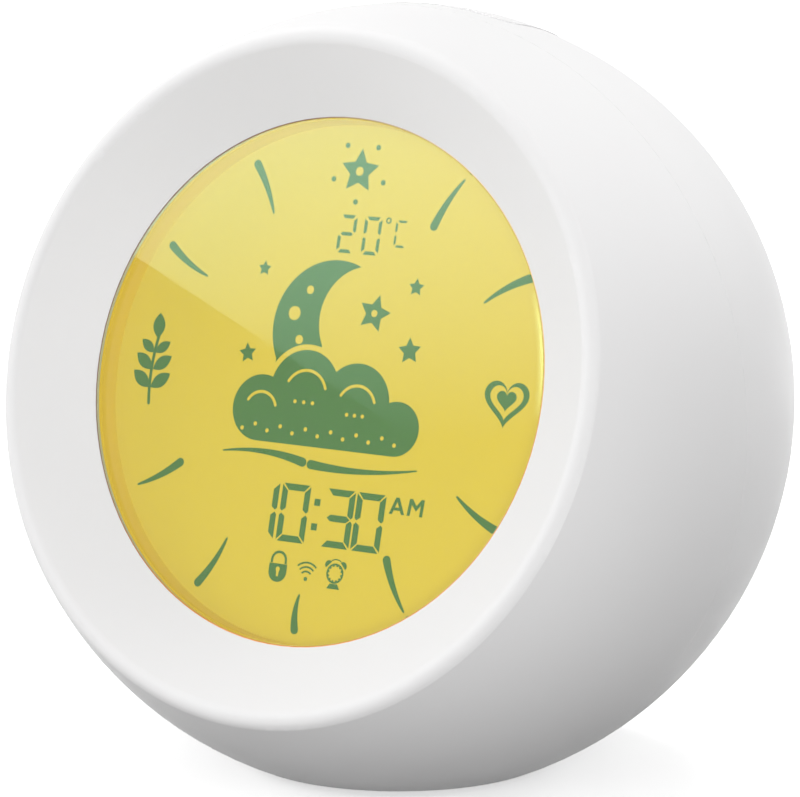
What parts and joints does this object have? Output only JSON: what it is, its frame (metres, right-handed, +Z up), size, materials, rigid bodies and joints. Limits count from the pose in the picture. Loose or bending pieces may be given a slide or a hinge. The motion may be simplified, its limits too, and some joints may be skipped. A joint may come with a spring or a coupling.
{
  "type": "alarm clock",
  "caption": "Round white bedside alarm clock with a tilted, recessed glowing display, a wide top button, rear keys, speaker and battery bay.",
  "frame": {"origin": "under the middle of the clock's box, on the surface that its feet stand on", "axes": "+X to the clock's left-hand side as the viewer's right when facing it, -Y towards the viewer, +Z up; the face's axis leans up from -Y by the face tilt"},
  "size_m": [0.13, 0.0922, 0.1256],
  "materials": {
    "white_shell": "satin moulded plastic",
    "clear_lens": "polished clear plastic",
    "amber_surround": "tinted translucent plastic",
    "lit_display": "polished glass over a warm backlight",
    "diffuser_white": "frosted",
    "box_white": "matt white",
    "flex_film": "polyimide film",
    "board_green": "solder mask",
    "board_white": "white solder mask",
    "lamp": "moulded resin",
    "chip_black": "moulded epoxy",
    "can_metal": "tinned sheet",
    "socket_beige": "nylon",
    "screw_steel": "zinc plated",
    "key_grey": "fine satin",
    "rubber_grey": "matt",
    "foam_black": "closed-cell foam",
    "cone_paper": "coated paper",
    "magnet_steel": "plated",
    "cell_sleeve": "printed sleeve, plain"
  },
  "bodies": {
    "clock": {"front_housing": "white_shell", "rear_housing": "white_shell", "housing_screws": "screw_steel", "rubber_feet": "rubber_grey", "lens": "clear_lens", "display_surround": "amber_surround", "display_glass": "lit_display", "display_flex": "flex_film", "diffuser": "diffuser_white", "reflector": "box_white", "display_screws": "screw_steel", "led_board": "board_white", "leds": "lamp", "main_board": "board_green", "main_chips": "chip_black", "wireless_module": "can_metal", "board_sockets": "socket_beige", "main_board_screws": "screw_steel", "top_switch": "can_metal", "top_switch_board": "board_green", "top_board_screws": "screw_steel", "key_switches": "can_metal", "key_board": "board_green", "key_board_screws": "screw_steel", "speaker_grille": "key_grey", "speaker_gasket": "foam_black", "speaker_frame": "can_metal", "speaker_cone": "cone_paper", "speaker_magnet": "magnet_steel", "speaker_clamp": "can_metal", "speaker_screws": "screw_steel", "power_inlet": "can_metal", "inlet_board": "board_green", "inlet_screw": "screw_steel", "battery_cells": "cell_sleeve", "battery_contacts": "screw_steel"},
    "top_button": {"top_button": "white_shell", "top_plunger": "chip_black"},
    "battery_door": {"battery_door": "white_shell", "door_screw": "screw_steel"},
    "alarm_button": {"alarm_button": "key_grey", "alarm_plunger": "chip_black"},
    "volume_down_button": {"volume_down_button": "key_grey", "volume_down_plunger": "chip_black"},
    "volume_up_button": {"volume_up_button": "key_grey", "volume_up_plunger": "chip_black"},
    "light_button": {"light_button": "key_grey", "light_plunger": "chip_black"}
  },
  "joints": [
    {"name": "top_button_press", "type": "slide", "parent": "clock", "child": "top_button", "axis": [0, -0.2231, -0.9748], "range_m": [0, 0.0008], "stiffness_N_per_m": 600, "springref_m": -0.003},
    {"name": "alarm_press", "type": "slide", "parent": "clock", "child": "alarm_button", "axis": [0, -1, 0], "range_m": [0, 0.0005], "stiffness_N_per_m": 600, "springref_m": -0.002},
    {"name": "volume_down_press", "type": "slide", "parent": "clock", "child": "volume_down_button", "axis": [0, -1, 0], "range_m": [0, 0.0005], "stiffness_N_per_m": 600, "springref_m": -0.002},
    {"name": "volume_up_press", "type": "slide", "parent": "clock", "child": "volume_up_button", "axis": [0, -1, 0], "range_m": [0, 0.0005], "stiffness_N_per_m": 600, "springref_m": -0.002},
    {"name": "light_press", "type": "slide", "parent": "clock", "child": "light_button", "axis": [0, -1, 0], "range_m": [0, 0.0005], "stiffness_N_per_m": 600, "springref_m": -0.002},
    {"name": "battery_door_lift", "type": "slide", "parent": "clock", "child": "battery_door", "axis": [0, 1, 0], "range_m": [0, 0.03]}
  ]
}
